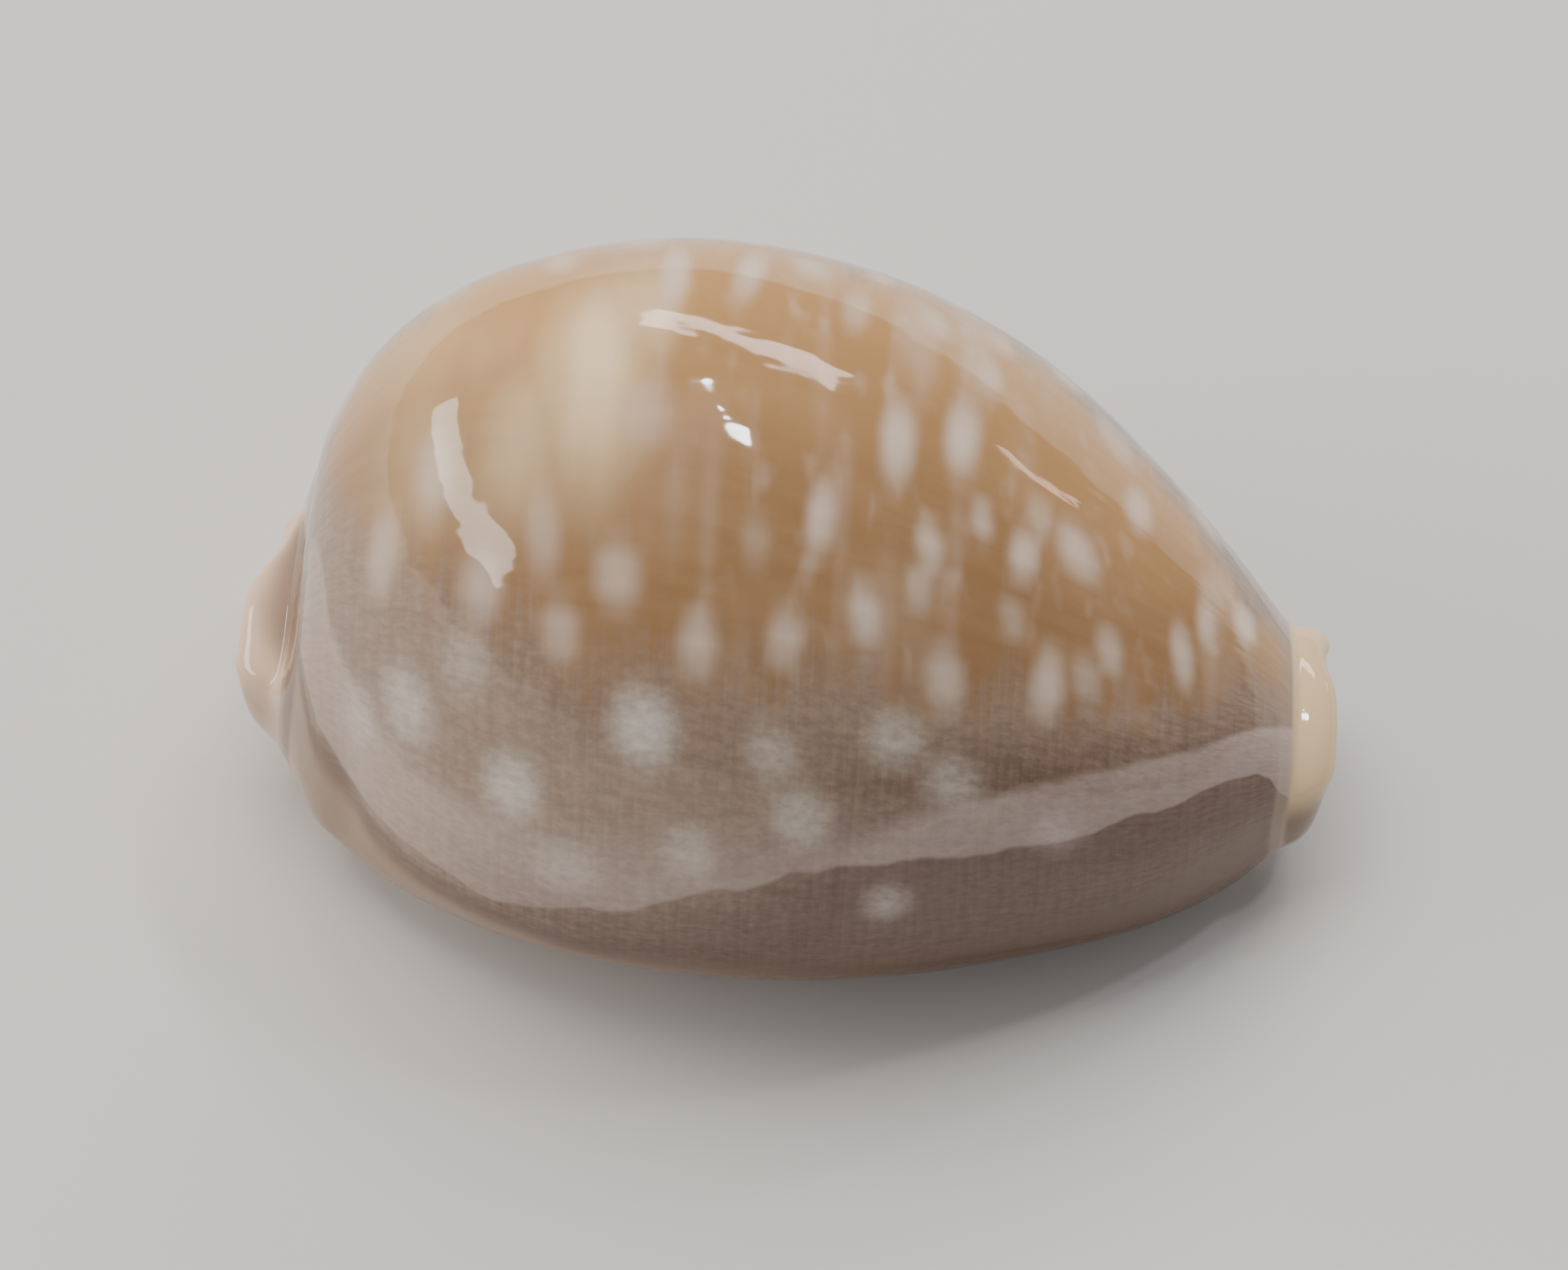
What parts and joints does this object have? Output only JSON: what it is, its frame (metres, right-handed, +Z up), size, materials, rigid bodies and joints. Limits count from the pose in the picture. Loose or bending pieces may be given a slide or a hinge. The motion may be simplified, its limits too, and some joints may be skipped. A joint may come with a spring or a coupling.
{
  "type": "cowrie shell",
  "caption": "Hollow glossy egg-shaped sea shell with a domed back, a flat base with a narrow toothed slit along it, and a rounded collar with a canal at each end.",
  "frame": {"origin": "centre of the bounding box in X and Y, on the flat spots of the base that the shell rests on", "axes": "+X towards the narrow anterior end, +Y towards the columella, so that the outer lip is at -Y, +Z up through the domed back"},
  "size_m": [0.05, 0.033, 0.028],
  "materials": {
    "shell": "gloss"
  },
  "bodies": {
    "root": {"shell": "shell"}
  },
  "joints": []
}
